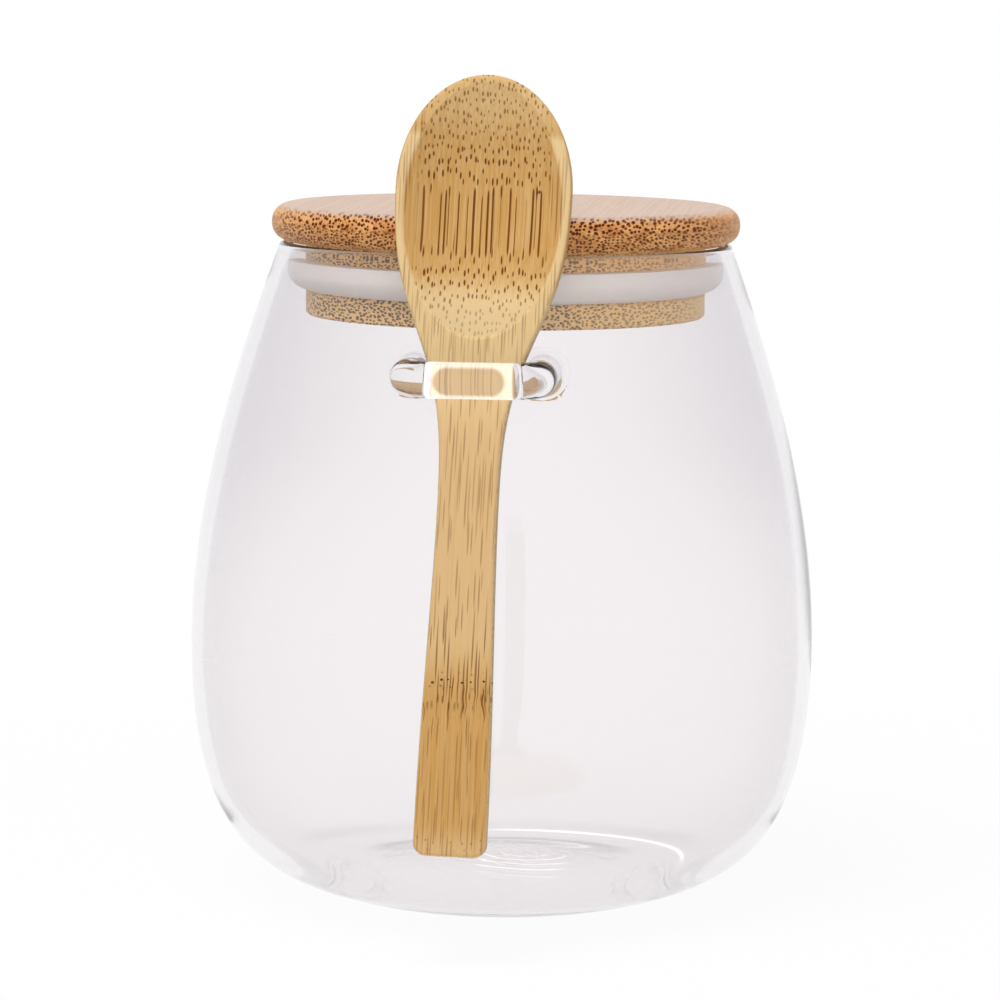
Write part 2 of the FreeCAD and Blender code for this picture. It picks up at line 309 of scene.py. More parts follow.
@dataclass(frozen=True)
class GlassFinish:
    """Clear blown glass, greyer where it is seen edge on: partly its own tint, partly painted shade for the
    dark surroundings it would reflect there. Its loop and base carry painted highlights that glow by
    emission.

    Sizes are in mm.
    """

    tint: Colour = (0.947, 0.925, 0.929, 1.0)
    # The edge colour: partly the glass's own tint, partly painted shade for dark surroundings reflected at
    # grazing angles; the shoulder settings widen that painted band.
    edge_tint_and_painted_shade: Colour = (0.66, 0.64, 0.685, 1.0)
    edge_sharpness: float = 2.4
    shoulder_softness: float = 1.3
    shoulder_heights: Span = (45.0, 85.0)
    ior: float = 1.47
    # Painted highlights, glowing by emission, stand in for reflections: the bar's margin, the ring round
    # the floor and the swirl.
    bar_window: tuple[float, float] = (3.6, 2.3)
    bar_reach: float = 7.4
    bar_glint: float = 0.48
    ring_radius: float = 33.4
    ring_glint: float = 0.45
    floor_heights: Span = (2.9, 6.5)
    swirl_centre: tuple[float, float] = (4.4, 2.0)
    swirl_spacing: float = 3.4
    swirl_glint: float = 0.3

    def make(self, bar: Sequence[float]) -> bpy.types.Material:
        """Makes the material.

        Args:
            bar: the middle of the loop's bar, in mm.

        Returns:
            The material.
        """
        material, tree = new_material(Slot.GLASS.value)
        facing = tree.node("ShaderNodeLayerWeight", None, {"Blend": 0.5}, "Facing")
        side, depth, height = tree.place_in_mm()
        sharpness = self.edge_sharpness - height.rise(*self.shoulder_heights) * self.shoulder_softness
        painted_glints = self._painted_bar_glint(side, depth, height, bar).at_least(self._painted_base_glints(side, depth, height))
        glass = tree.node(
            "ShaderNodeBsdfPrincipled",
            None,
            {
                # Base Color greys towards the edges: partly tint, partly painted shade.
                "Base Color": tree.mix(facing ** sharpness, self.tint, self.edge_tint_and_painted_shade),
                "Roughness": 0.0,
                "IOR": self.ior,
                "Transmission Weight": 1.0,
                # Emission paints the highlights on the loop and in the base.
                "Emission Color": tree.mix(painted_glints, BLACK, WHITE),
                "Emission Strength": 1.0,
            },
        )
        clear = tree.node("ShaderNodeBsdfTransparent", None, {"Color": self.tint})
        shadow = tree.node("ShaderNodeLightPath", None, None, "Is Shadow Ray")
        tree.finish(tree.mix_shader(shadow, glass, clear))
        return material

    def _painted_bar_glint(self, side: Flow, depth: Flow, height: Flow, bar: Sequence[float]) -> Flow:
        """A painted highlight that glows by emission: the bright margin round the clear window in the front
        of the loop's bar.

        Args:
            side, depth, height: the place in mm.
            bar: the middle of the bar.

        Returns:
            The mask.
        """
        half_length, half_height = self.bar_window
        beyond = (abs(side - bar[0]) - half_length).at_least(0.0)
        from_window = (beyond * beyond + (height - bar[2]) ** 2.0) ** 0.5
        on_bar = abs(side - bar[0]).rise(self.bar_reach, self.bar_reach - 0.5)
        on_front = depth.rise(bar[1] - 0.2, bar[1] - 0.8)
        return from_window.rise(half_height - 0.4, half_height + 0.4) * on_bar * on_front * self.bar_glint

    def _painted_base_glints(self, side: Flow, depth: Flow, height: Flow) -> Flow:
        """Painted highlights that glow by emission: thin glints on the ring round the floor and on the
        swirl left in its middle.

        Args:
            side, depth, height: the place in mm.

        Returns:
            The mask.
        """
        low, high = self.floor_heights
        on_floor = height.rise(low - 0.3, low) * height.rise(high + 1.0, high)
        radius = (side * side + depth * depth) ** 0.5
        ring = radius.bump(self.ring_radius, 0.7) * side.rise(-12.0, 8.0) * depth.rise(-8.0, 10.0)
        across, back = self.swirl_centre
        away = ((side - across) ** 2.0 + (depth - back) ** 2.0) ** 0.5
        turn = away * (math.tau / self.swirl_spacing)
        waves = turn.math("SINE", turn).rise(0.75, 1.0)
        in_swirl = away.rise(3.0, 5.0) * away.rise(19.0, 16.0) * abs(side - across).rise(9.0, 6.0)
        swirl = waves * in_swirl * depth.rise(back, back - 2.0)
        return (ring * self.ring_glint).at_least(swirl * self.swirl_glint) * on_floor


@dataclass(frozen=True)
class SiliconeFinish:
    """Milky silicone that lets a little light through, with a faint painted glow by emission that lifts it
    out of the shade it sits in.
    """

    milky: Colour = colour(254, 246, 240)
    cloudy: Colour = colour(250, 240, 233)
    clouds_per_metre: float = 120.0
    # Painted light: a faint emission that brightens the shaded seal, though it is no lamp.
    glow: float = 0.08

    def make(self) -> bpy.types.Material:
        """Returns the material."""
        material, tree = new_material(Slot.SEAL.value)
        clouds = tree.noise(tree.position(), 3.0, scale=self.clouds_per_metre)
        skin = tree.node(
            "ShaderNodeBsdfPrincipled",
            None,
            {
                "Base Color": tree.mix(clouds, self.milky, self.cloudy),
                "Roughness": 0.42 + clouds * 0.1,
                "IOR": 1.41,
                "Subsurface Weight": 0.4,
                "Subsurface Scale": 0.002,
                "Emission Color": self.milky,
                "Emission Strength": self.glow,
            },
        )
        tree.finish(skin)
        return material


@dataclass(frozen=True)
class BambooSurface:
    """How rough and glossy sanded bamboo is, and how deep its fibre bundles and fibres lie."""

    roughness: float
    bundle_roughness: float
    gloss: float
    bundle_depth: float
    fibre_height: float
    relief_strength: float
    relief_height: float

    def finish(self, tree: Tree, tint: Flow, spots: Flow, fibres: Flow) -> None:
        """Ends a material.

        Args:
            tree: its tree.
            tint: its colour.
            spots: the mask of the fibre bundles.
            fibres: the noise of the fibres.
        """
        relief = 1.0 - spots * self.bundle_depth + fibres * self.fibre_height
        bumps = tree.node(
            "ShaderNodeBump",
            None,
            {"Strength": self.relief_strength, "Distance": self.relief_height, "Height": relief},
        )
        bamboo = tree.node(
            "ShaderNodeBsdfPrincipled",
            None,
            {
                "Base Color": tint,
                "Roughness": self.roughness + spots * self.bundle_roughness + fibres * 0.1,
                "IOR": 1.5,
                "Specular IOR Level": self.gloss,
                "Normal": bumps,
            },
        )
        tree.finish(bamboo)


@dataclass(frozen=True)
class Bundles:
    """The dark fibre bundles that a cut through bamboo shows.

    Wide and tall are their spacing in mm, and size is a bundle's radius as a share of it. Disorder is how
    far they are from an even grid, 0 to 1.
    """

    wide: float
    tall: float
    size: float
    disorder: float = 0.7

    def ends(self, tree: Tree, side: Number, level: Number) -> Flow:
        """Where the bundles show: 1 inside a bundle, 0 between them.

        Args:
            tree: the tree to add to.
            side, level: the place across the face, in mm.

        Returns:
            The mask.
        """
        place = tree.vector(side / self.wide, level / self.tall, 0.0)
        cell = {"Vector": place, "Scale": 1.0, "Randomness": self.disorder}
        settings = {"feature": "F1", "voronoi_dimensions": "2D"}
        distance = tree.node("ShaderNodeTexVoronoi", settings, cell, "Distance")
        chance = tree.dot(tree.node("ShaderNodeTexVoronoi", settings, cell, "Color"), (1, 0, 0))
        reach = self.size * (0.7 + 0.6 * chance)
        return distance.rise(reach * 1.35, reach * 0.8)


@dataclass(frozen=True)
class LidBambooFinish:
    """Caramel bamboo board whose fibres run from front to back, so its edge shows the bundles' ends."""

    pale: Colour = colour(232, 174, 112)
    caramel: Colour = colour(170, 106, 50)
    # The colour of the upward faces: partly their own lighter sanded tone, partly a painted sheen for the
    # reflection they show at a grazing view.
    top: Colour = colour(197, 172, 156)
    # The plug discs below the slab: partly a paler tone, partly painted light that lifts them out of the
    # slab's shade.
    plug: Colour = colour(255, 214, 148)
    dark: Colour = colour(84, 28, 2)
    coarse: Bundles = Bundles(0.72, 0.68, 0.32, 0.9)
    fine: Bundles = Bundles(0.66, 0.5, 0.31, 0.9)
    coarse_from: Span = (0.45, 0.6)
    surface: BambooSurface = BambooSurface(
        roughness=0.4,
        bundle_roughness=0.2,
        gloss=0.2,
        bundle_depth=0.7,
        fibre_height=0.3,
        relief_strength=0.3,
        relief_height=0.08 * MM,
    )

    def make(self, low: float, high: float) -> bpy.types.Material:
        """Makes the material.

        Args:
            low, high: the heights of the slab's underside and top, in mm.

        Returns:
            The material.
        """
        material, tree = new_material(Slot.LID.value)
        side, depth, height = tree.place_in_mm()
        normal = tree.node("ShaderNodeNewGeometry", None, None, "Normal")
        drift = tree.noise(tree.vector(side * 0.06, depth * 0.05, height * 0.12)) - 0.5
        side = side + drift * 1.4
        level = height + drift * 0.9
        fibres = tree.noise(tree.vector(side * 2.6, depth * 0.07, level * 2.6), 3.0, 0.6)
        streaks = (fibres - 0.5) * 1.5 + 0.5
        on_plug = (low - height).rise(-0.4, 0.2)
        spots = self._spots(tree, side, level, tree.dot(normal, (0, 1, 0)), low, high)
        spots = spots * (1.0 - on_plug * side.rise(5.0, 25.0) * 0.4)
        broad = tree.noise(tree.vector(side * 0.22, depth * 0.03, level * 0.5))
        ground = tree.mix((streaks * 0.5 + broad * 0.7).rise(0.3, 0.9), self.caramel, self.pale)
        # Painted light: below the slab the plug is made lighter to offset the slab's shade.
        ground = tree.mix(on_plug, ground, self.plug)
        # Faces that point up take the top colour: partly their own tone, partly a painted sheen.
        sanded_and_sheen = tree.mix(streaks * 0.14, self.top, self.pale)
        ground = tree.mix(tree.dot(normal, (0, 0, 1)).rise(0.6, 0.98), ground, sanded_and_sheen)
        self.surface.finish(tree, tree.mix(spots, ground, self.dark), spots, fibres)
        return material

    def _spots(self, tree: Tree, side: Flow, level: Flow, facing: Flow, low: float, high: float) -> Flow:
        """The ends of the fibre bundles: coarse near the top of the slab, finer below.

        Args:
            tree: the tree to add to.
            side, level: the place across the fibres, in mm.
            facing: how far the surface faces along the fibres, -1 to 1.
            low, high: the heights of the slab's underside and top, in mm.

        Returns:
            The mask.
        """
        upper = level.rise(*(low + share * (high - low) for share in self.coarse_from))
        coarse = self.coarse.ends(tree, side + 31.0, level)
        fine = self.fine.ends(tree, side, level) * 0.9
        seen_on = abs(facing).rise(0.1, 0.6)
        return tree.blend(upper, fine, coarse) * tree.blend(seen_on, 0.08, 1.0)


@dataclass(frozen=True)
class SpoonBambooFinish:
    """Pale bamboo whose bundles run along the spoon: lines on its handle, dots where the bowl cuts them.

    Places along the spoon are in mm from its square end. A pair of them says where a change starts and
    where it ends.
    """

    pale: Colour = colour(216, 186, 136)
    tan: Colour = colour(207, 172, 122)
    # A darker, warmer tone; over the upper bowl it is partly painted shade.
    warm: Colour = colour(186, 138, 70)
    # A painted highlight colour for the crescent at the bowl's lower edge, whose slope faces up to the
    # lamps.
    light: Colour = colour(206, 179, 134)
    dark: Colour = colour(110, 60, 12)
    node_dark: Colour = colour(62, 36, 18)
    square_end: Span = (6.0, 1.0)
    knot: float = 29.0
    warm_end: Span = (37.0, 25.0)
    neck: Span = (85.0, 60.0)
    lit_crescent: Span = (96.0, 87.0)
    warm_bowl: Span = (87.0, 99.0)
    bowl_middle: float = 104.8
    flat_reach: float = 3.6
    pit: tuple[float, float] = (9.1, 110.1)
    paler_tip: Span = (117.0, 126.0)
    dotted_tip: Span = (118.0, 120.0)
    bowl_sides: Span = (9.5, 12.0)
    dots: Bundles = Bundles(0.75, 1.5, 0.18, 0.75)
    threads: Bundles = Bundles(1.0, 60.0, 0.12, 0.3)
    lines: Bundles = Bundles(0.66, 26.0, 0.18)
    dashes: Bundles = Bundles(0.8, 17.0, 0.14)
    knot_dots: Bundles = Bundles(1.8, 1.5, 0.12)
    knot_dashes: Bundles = Bundles(0.9, 3.4, 0.18)
    end_dots: Bundles = Bundles(1.5, 2.2, 0.09)
    surface: BambooSurface = BambooSurface(
        roughness=0.5,
        bundle_roughness=0.15,
        gloss=0.25,
        bundle_depth=0.6,
        fibre_height=0.4,
        relief_strength=0.12,
        relief_height=0.06 * MM,
    )

    def make(self, along: Vector, across: Vector, through: Vector, end: Vector) -> bpy.types.Material:
        """Makes the material.

        Args:
            along, across, through: the spoon's own directions.
            end: the middle of its square end, in metres.

        Returns:
            The material.
        """
        material, tree = new_material(Slot.SPOON.value)
        local = tree.node(
            "ShaderNodeVectorMath", {"operation": "SUBTRACT"}, {0: tree.position(), 1: tuple(end)}
        )
        length, side, depth = (tree.dot(local, axis * PER_MM) for axis in (along, across, through))
        normal = tree.node("ShaderNodeNewGeometry", None, None, "Normal")
        drift = tree.noise(tree.vector(side * 0.12, depth * 0.2, length * 0.02)) - 0.5
        wave = tree.noise(tree.vector(side * 0.3, 4.0, length * 0.25), 1.0) - 0.5
        grain = side + drift * 0.9 + wave * length.bump(self.knot - 5.0, 7.0) * 1.6
        edge_on = abs(tree.dot(normal, across)).rise(0.65, 0.85)
        grain = tree.blend(edge_on, grain, depth + 30.0)
        in_bowl = depth.rise(0.05, 0.35).at_least(length.rise(*self.dotted_tip))
        # Painted light: the crescent at the bowl's lower edge is paler and less warm, with fainter marks,
        # as if lit from above.
        lit_crescent = length.rise(*self.lit_crescent) * in_bowl
        lines = self.lines.ends(tree, grain, length)
        in_middle = self._bowl_marks(tree, grain, length)
        marks = tree.blend(abs(side).rise(*self.bowl_sides), in_middle, lines * 0.55)
        spots = tree.blend(in_bowl, self._handle_marks(tree, grain, length, lines), marks)
        spots = spots * (1.0 - lit_crescent * 0.45)
        fibres = tree.noise(tree.vector(grain * 3.0, depth * 2.0, length * 0.03), 3.0, 0.6)
        broad = tree.noise(tree.vector(side * 0.18, depth * 0.3, length * 0.012))
        # The upper bowl is warmer and darker: partly its own tone, partly painted shade where its slope
        # faces down.
        upper_bowl_tone_and_shade = in_bowl * length.rise(*self.warm_bowl)
        warmth = upper_bowl_tone_and_shade * (0.75 - length.rise(*self.paler_tip) * 0.35) + broad * 0.3 - 0.12
        warmth = warmth + length.rise(*self.warm_end) * (0.75 - length.rise(*self.square_end) * 0.5)
        warmth = (warmth + (fibres - 0.5) * 1.2 - lit_crescent * 0.5).at_least(0.0).at_most(1.0)
        ground = tree.mix(length.rise(*self.neck), self.pale, self.tan)
        ground = tree.mix(warmth, ground, self.warm)
        ground = tree.mix(lit_crescent, ground, self.light)
        tint = tree.mix(spots, ground, self.dark)
        tint = tree.mix(self._knot_marks(tree, side, length), tint, self.node_dark)
        self.surface.finish(tree, tint, spots, fibres)
        return material

    def _bowl_marks(self, tree: Tree, grain: Flow, length: Flow) -> Flow:
        """Bundles in the bowl: long lines in its middle, drawn together into dots where it slopes.

        Args:
            tree: the tree to add to.
            grain, length: the place across and along the fibres, in mm.

        Returns:
            The mask.
        """
        past_middle = length - self.bowl_middle
        above = (past_middle - self.flat_reach).at_least(0.0)
        below = (-self.flat_reach - past_middle).at_least(0.0)
        level = above * above / (above + 9.0) - below * below / (below + 9.0)
        dots = self.dots.ends(tree, grain, level + self.dots.tall / 2)
        dots = dots * (1.0 - abs(past_middle).rise(10.0, 17.0) * 0.3)
        threads = self.threads.ends(tree, grain + 20.0, past_middle + self.threads.tall / 2)
        return dots.at_least(threads * abs(past_middle).rise(6.0, 4.0) * 0.9)

    def _handle_marks(self, tree: Tree, grain: Flow, length: Flow, lines: Flow) -> Flow:
        """Lines and dashes along the handle, stronger round its knot.

        Args:
            tree: the tree to add to.
            grain, length: the place across and along the fibres, in mm.
            lines: the mask of the long lines.

        Returns:
            The mask.
        """
        dashes = self.dashes.ends(tree, grain + 40.0, length)
        by_knot = length.bump(self.knot + 1.0, 13.0)
        return (dashes * (0.42 + by_knot * 0.58)).at_least(lines * (0.3 + by_knot * 0.45))

    def _knot_marks(self, tree: Tree, side: Flow, length: Flow) -> Flow:
        """Dark dots and short dashes in a band across the handle, and one pit in the bowl.

        Args:
            tree: the tree to add to.
            side, length: the place across and along the spoon, in mm.

        Returns:
            The mask.
        """
        dots = self.knot_dots.ends(tree, side + 7.0, length) * length.bump(self.knot, 2.0)
        dashes = self.knot_dashes.ends(tree, side, length + 3.0) * length.bump(self.knot - 3.2, 3.2)
        tail = self.end_dots.ends(tree, side, length) * length.bump(2.4, 2.4)
        pit_side, pit_length = self.pit
        pit = side.bump(pit_side, 0.6) * length.bump(pit_length, 0.5)
        return dots.at_least(dashes * 0.5).at_least(tail * 0.4).at_least(pit)


# ---------------------------------------------------------------- pieces


def dress(node: str, material: bpy.types.Material) -> bpy.types.Object:
    """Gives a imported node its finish.

    Args:
        node: the node's name.
        material: the finish.

    Returns:
        The node's object.
    """
    piece = frame["nodes"][node]
    for place in piece.material_slots:
        place.material = material
    if not piece.material_slots:
        piece.data.materials.append(material)
    LOG.info("%s: %d faces, %s", node, len(piece.data.polygons), material.name)
    return piece


def bezier(poles: Sequence[Sequence[float]], count: int) -> np.ndarray:
    """Points along a cubic Bezier curve.

    Args:
        poles: its four poles.
        count: how many points are wanted.

    Returns:
        The points, one a row.
    """
    share = np.linspace(0.0, 1.0, count)[:, None]
    rest = 1.0 - share
    first, second, third, last = (np.array(pole, float) for pole in poles)
    return rest**3 * first + 3 * rest**2 * share * second + 3 * rest * share**2 * third + share**3 * last


def smooth_curve(
    points: np.ndarray, start: Sequence[float], end: Sequence[float], count: int
) -> np.ndarray:
    """Points along the cubic spline through points, with a given direction at both ends.

    Args:
        points: what the curve passes through, one a row.
        start, end: unit directions at its ends.
        count: how many points are wanted.

    Returns:
        The points, one a row.
    """
    steps = np.linalg.norm(np.diff(points, axis=0), axis=1)
    knots = np.concatenate([[0.0], np.cumsum(steps)])
    size = len(points)
    matrix = np.zeros((size, size))
    right = np.zeros_like(points)
    matrix[0, 0] = matrix[-1, -1] = 1.0
    right[0], right[-1] = start, end
    for row in range(1, size - 1):
        before, after = steps[row - 1], steps[row]
        matrix[row, row - 1 : row + 2] = after, 2 * (before + after), before
        climb_before = (points[row] - points[row - 1]) / before
        climb_after = (points[row + 1] - points[row]) / after
        right[row] = 3 * (after * climb_before + before * climb_after)
    slopes = np.linalg.solve(matrix, right)
    places = np.linspace(0.0, knots[-1], count)
    span = np.clip(np.searchsorted(knots, places, side="right") - 1, 0, size - 2)
    width = steps[span][:, None]
    share = ((places - knots[span]) / steps[span])[:, None]
    return (
        (2 * share**3 - 3 * share**2 + 1) * points[span]
        + (share**3 - 2 * share**2 + share) * width * slopes[span]
        + (3 * share**2 - 2 * share**3) * points[span + 1]
        + (share**3 - share**2) * width * slopes[span + 1]
    )


def tube_faces(rings: int, count: int, first: int = 0) -> list[tuple[int, ...]]:
    """The four-sided faces between rings of points.

    Args:
        rings: how many rings there are.
        count: how many points a ring has.
        first: the number of the first ring's first point.

    Returns:
        The faces.
    """
    faces = []
    for low in range(first, first + (rings - 1) * count, count):
        for step in range(count):
            after = (step + 1) % count
            faces.append((low + step, low + after, low + count + after, low + count + step))
    return faces


def mesh_object(
    name: str, vertices: Sequence[Sequence[float]], faces: Sequence[Sequence[int]]
) -> bpy.types.Object:
    """Makes a smooth-shaded object from points in mm.

    Args:
        name: the object's name.
        vertices: its points.
        faces: its faces.

    Returns:
        The object, linked to the scene.
    """
    mesh = bpy.data.meshes.new(name)
    mesh.from_pydata([tuple(float(value) * MM for value in point) for point in vertices], [], list(faces))
    mesh.validate()
    mesh.shade_smooth()
    piece = bpy.data.objects.new(name, mesh)
    bpy.context.scene.collection.objects.link(piece)
    return piece


@dataclass
class GlassJar:
    """The blown jar with its fused spoon loop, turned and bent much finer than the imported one.

    Sizes are in mm. Each pull is how far a curve's handle reaches, as a share of its run. Each station is a
    share of a wall curve at which the inside lies one wall thickness in.
    """

    node: str = "glass_jar"
    height: float = 115.6
    belly_radius: float = 55.0
    belly_height: float = 45.0
    rim_radius: float = 39.9
    shoulder_angle: float = 20.4
    wall: float = 2.2
    floor: float = 2.9
    push_up: float = 2.2
    foot_inner_radius: float = 22.0
    foot_width: float = 4.0
    foot_soft: float = 1.3
    heel_angle: float = 14.0
    floor_edge: tuple[float, float] = (31.8, 3.15)
    heel_turn: tuple[float, float] = (35.0, 4.3)
    shoulder_pull: float = 0.355
    belly_pull_up: float = 0.313
    belly_pull_down: float = 0.84
    heel_pull: float = 0.52
    lower_stations: tuple[float, ...] = (0.4, 0.6, 0.8)
    upper_stations: tuple[float, ...] = (0.0, 0.3, 0.6, 0.85)
    ripple_reach: float = 15.0
    ripple_length: float = 3.1
    ripple_height: float = 0.09
    waviness: float = 0.06
    wavy_heights: tuple[float, ...] = (8.0, 28.0, 93.0, 108.0)
    segments: int = 240
    wall_samples: int = 400
    wall_points: int = 64
    inside_points: int = 210
    under_points: int = 20
    rim_points: int = 14
    corner_points: int = 9
    loop_height: float = 96.5
    loop_rod: float = 6.1
    loop_inner_width: float = 15.4
    loop_front: float = 58.69
    loop_bend: float = 4.3
    weld: float = 1.3
    weld_depth: float = 0.9
    rod_segments: int = 64
    weld_rings: int = 14
    bend_rings: int = 18
    finish: GlassFinish = field(default_factory=GlassFinish)

    def build(self) -> None:
        """Makes the jar and its loop as one piece of glass."""
        body = self._body()
        loop = self._loop()
        union = body.modifiers.new("weld", "BOOLEAN")
        union.operation = "UNION"
        union.solver = "EXACT"
        union.object = loop
        graph = bpy.context.evaluated_depsgraph_get()
        fused = bpy.data.meshes.new_from_object(body.evaluated_get(graph))
        jar = bpy.data.objects.new("glass_jar_blown", fused)
        bpy.context.scene.collection.objects.link(jar)
        bpy.data.objects.remove(body)
        bpy.data.objects.remove(loop)
        fused.shade_smooth()
        fused.materials.clear()
        fused.materials.append(self.finish.make((0.0, -self.loop_front, self.loop_height)))
        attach(jar, "root")
        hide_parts(self.node)
        LOG.info("%s: %d faces", jar.name, len(fused.polygons))

    def _walls(self, count: int) -> tuple[np.ndarray, np.ndarray]:
        """The outside from foot to belly and from belly to rim, as radius and height.

        Args:
            count: how many points each has.

        Returns:
            The lower and the upper curve.
        """
        foot = self.foot_inner_radius + self.foot_width
        heel = math.radians(self.heel_angle)
        pull_out = self.heel_pull * (self.belly_radius - foot)
        shoulder = math.radians(self.shoulder_angle)
        run = self.height - self.belly_height
        pull = self.shoulder_pull * run
        rim = self.height - self.wall / 2
        lower = bezier(
            (
                (foot, 0),
                (foot + pull_out * math.cos(heel), pull_out * math.sin(heel)),
                (self.belly_radius, self.belly_height * (1 - self.belly_pull_down)),
                (self.belly_radius, self.belly_height),
            ),
            count,
        )
        upper = bezier(
            (
                (self.belly_radius, self.belly_height),
                (self.belly_radius, self.belly_height + self.belly_pull_up * run),
                (self.rim_radius + pull * math.sin(shoulder), rim - pull * math.cos(shoulder)),
                (self.rim_radius, rim),
            ),
            count,
        )
        return lower, upper

    def _inside(self) -> np.ndarray:
        """The inside from the middle of the floor to the rim, as radius and height."""
        last = self.wall_samples
        lower, upper = self._walls(last + 1)
        foot_middle = self.foot_inner_radius + self.foot_width / 2
        points = [
            (0.0, self.floor + self.push_up),
            (foot_middle / 2, self.floor + 0.75 * self.push_up),
            (foot_middle, self.floor),
            self.floor_edge,
            self.heel_turn,
        ]
        for curve, stations in ((lower, self.lower_stations), (upper, self.upper_stations)):
            for station in stations:
                place = round(station * last)
                along = curve[min(place + 1, last)] - curve[max(place - 1, 0)]
                along /= np.linalg.norm(along)
                points.append(tuple(curve[place] + np.array((-along[1], along[0])) * self.wall))
        points.append((self.rim_radius - self.wall, self.height - self.wall / 2))
        end = upper[-1] - upper[-2]
        start = (1.0, 0.0)
        curve = smooth_curve(np.array(points, float), start, end / np.linalg.norm(end), self.inside_points)
        radius = curve[:, 0]
        fade = np.clip(1.0 - radius / self.ripple_reach, 0.0, 1.0) ** 0.6
        curve[:, 1] += self.ripple_height * fade * np.cos(math.tau * radius / self.ripple_length)
        return curve

    def _outline(self) -> np.ndarray:
        """The closed half section of the glass, from the underside's middle round to the floor's middle."""
        lower, upper = self._walls(self.wall_points)
        foot = self.foot_inner_radius + self.foot_width
        share = np.linspace(0.0, 1.0, self.under_points)[:, None]
        under = np.hstack([self.foot_inner_radius * share, self.push_up * (1.0 - share**2)])
        corner_in = np.array((self.foot_inner_radius, 0.0))
        corner_out = np.array((foot, 0.0))
        under = self._soften(under, corner_in, np.array((1.0, 0.0)), True)
        lower = self._soften(lower, corner_out, np.array((-1.0, 0.0)), False)
        turn = np.linspace(0.0, math.pi, self.rim_points)[1:-1]
        middle = self.rim_radius - self.wall / 2
        lip = self.height - self.wall / 2
        rim = np.stack([middle + self.wall / 2 * np.cos(turn), lip + self.wall / 2 * np.sin(turn)], axis=1)
        outline = np.vstack([under, lower, upper[1:], rim, self._inside()[::-1]])
        outline[0, 0] = outline[-1, 0] = 0.0
        return outline

    def _soften(self, curve: np.ndarray, corner: np.ndarray, flat: np.ndarray, at_end: bool) -> np.ndarray:
        """Rounds the corner between a curve of the underside and the flat of the foot.

        Args:
            curve: the curve, which starts or ends at the corner.
            corner: the corner.
            flat: the direction of the flat from the corner.
            at_end: True if the curve ends at the corner.

        Returns:
            The curve with its corner rounded.
        """
        away = np.linalg.norm(curve - corner, axis=1)
        kept = curve[away > self.foot_soft]
        near = kept[-1] if at_end else kept[0]
        on_flat = corner + flat * self.foot_soft
        share = np.linspace(0.0, 1.0, self.corner_points)[1:, None]
        bend = (1 - share) ** 2 * near + 2 * share * (1 - share) * corner + share**2 * on_flat
        return np.vstack([kept, bend]) if at_end else np.vstack([bend[::-1], kept])

    def _unevenness(self, angles: np.ndarray, height: float) -> np.ndarray:
        """How far the inside strays from round: nothing near the floor and the rim.

        Args:
            angles: where round the jar.
            height: at what height.

        Returns:
            The extra radius at each angle.
        """
        fade = np.interp(height, self.wavy_heights, (0.0, 1.0, 1.0, 0.0))
        swell = np.sin(2 * angles + height * 0.045) + 0.6 * np.sin(3 * angles - height * 0.08 + 1.3)
        return self.waviness * fade * swell

    def _body(self) -> bpy.types.Object:
        """The turned jar, with the slight unevenness of blown glass on its inside."""
        outline = self._outline()
        rim_row = np.argmax(outline[:, 1])
        count = self.segments
        angles = np.arange(count) * math.tau / count
        rings = []
        for row, (radius, height) in enumerate(outline[1:-1], 1):
            reach = radius + (self._unevenness(angles, height) if row > rim_row else 0.0)
            level = np.full(count, height)
            rings.append(np.stack([reach * np.cos(angles), reach * np.sin(angles), level], axis=1))
        vertices = np.vstack([(0.0, 0.0, outline[0, 1]), *rings, (0.0, 0.0, outline[-1, 1])])
        last, top = 1 + (len(rings) - 1) * count, len(vertices) - 1
        faces = [(0, 1 + (step + 1) % count, 1 + step) for step in range(count)]
        faces += tube_faces(len(rings), count, 1)
        faces += [(last + step, last + (step + 1) % count, top) for step in range(count)]
        return mesh_object("jar_turned", vertices, faces)

    def _loop(self) -> bpy.types.Object:
        """The bent rod, whose feet spread on the wall as a drawn-out weld does."""
        rod = self.loop_rod / 2
        side = (self.loop_inner_width + self.loop_rod) / 2
        front = -self.loop_front
        turns = np.arange(self.rod_segments) * math.tau / self.rod_segments
        upper = self._walls(self.wall_samples)[1]

        def on_wall(x: float, z: float) -> float:
            """The Y value of the jar's outside."""
            return -math.sqrt(float(np.interp(z, upper[:, 1], upper[:, 0])) ** 2 - x**2)

        def leg_ring(spread: float, lift: float, share: float = 0.0) -> np.ndarray:
            """A ring round the right leg, off the wall by a lift or part of the way to the bend."""
            across = side + (rod + spread) * np.cos(turns)
            height = self.loop_height + (rod + spread) * np.sin(turns)
            depth = np.array([on_wall(x, z) for x, z in zip(across, height)]) - lift
            return np.stack([across, depth + (front + self.loop_bend - depth) * share, height], axis=1)

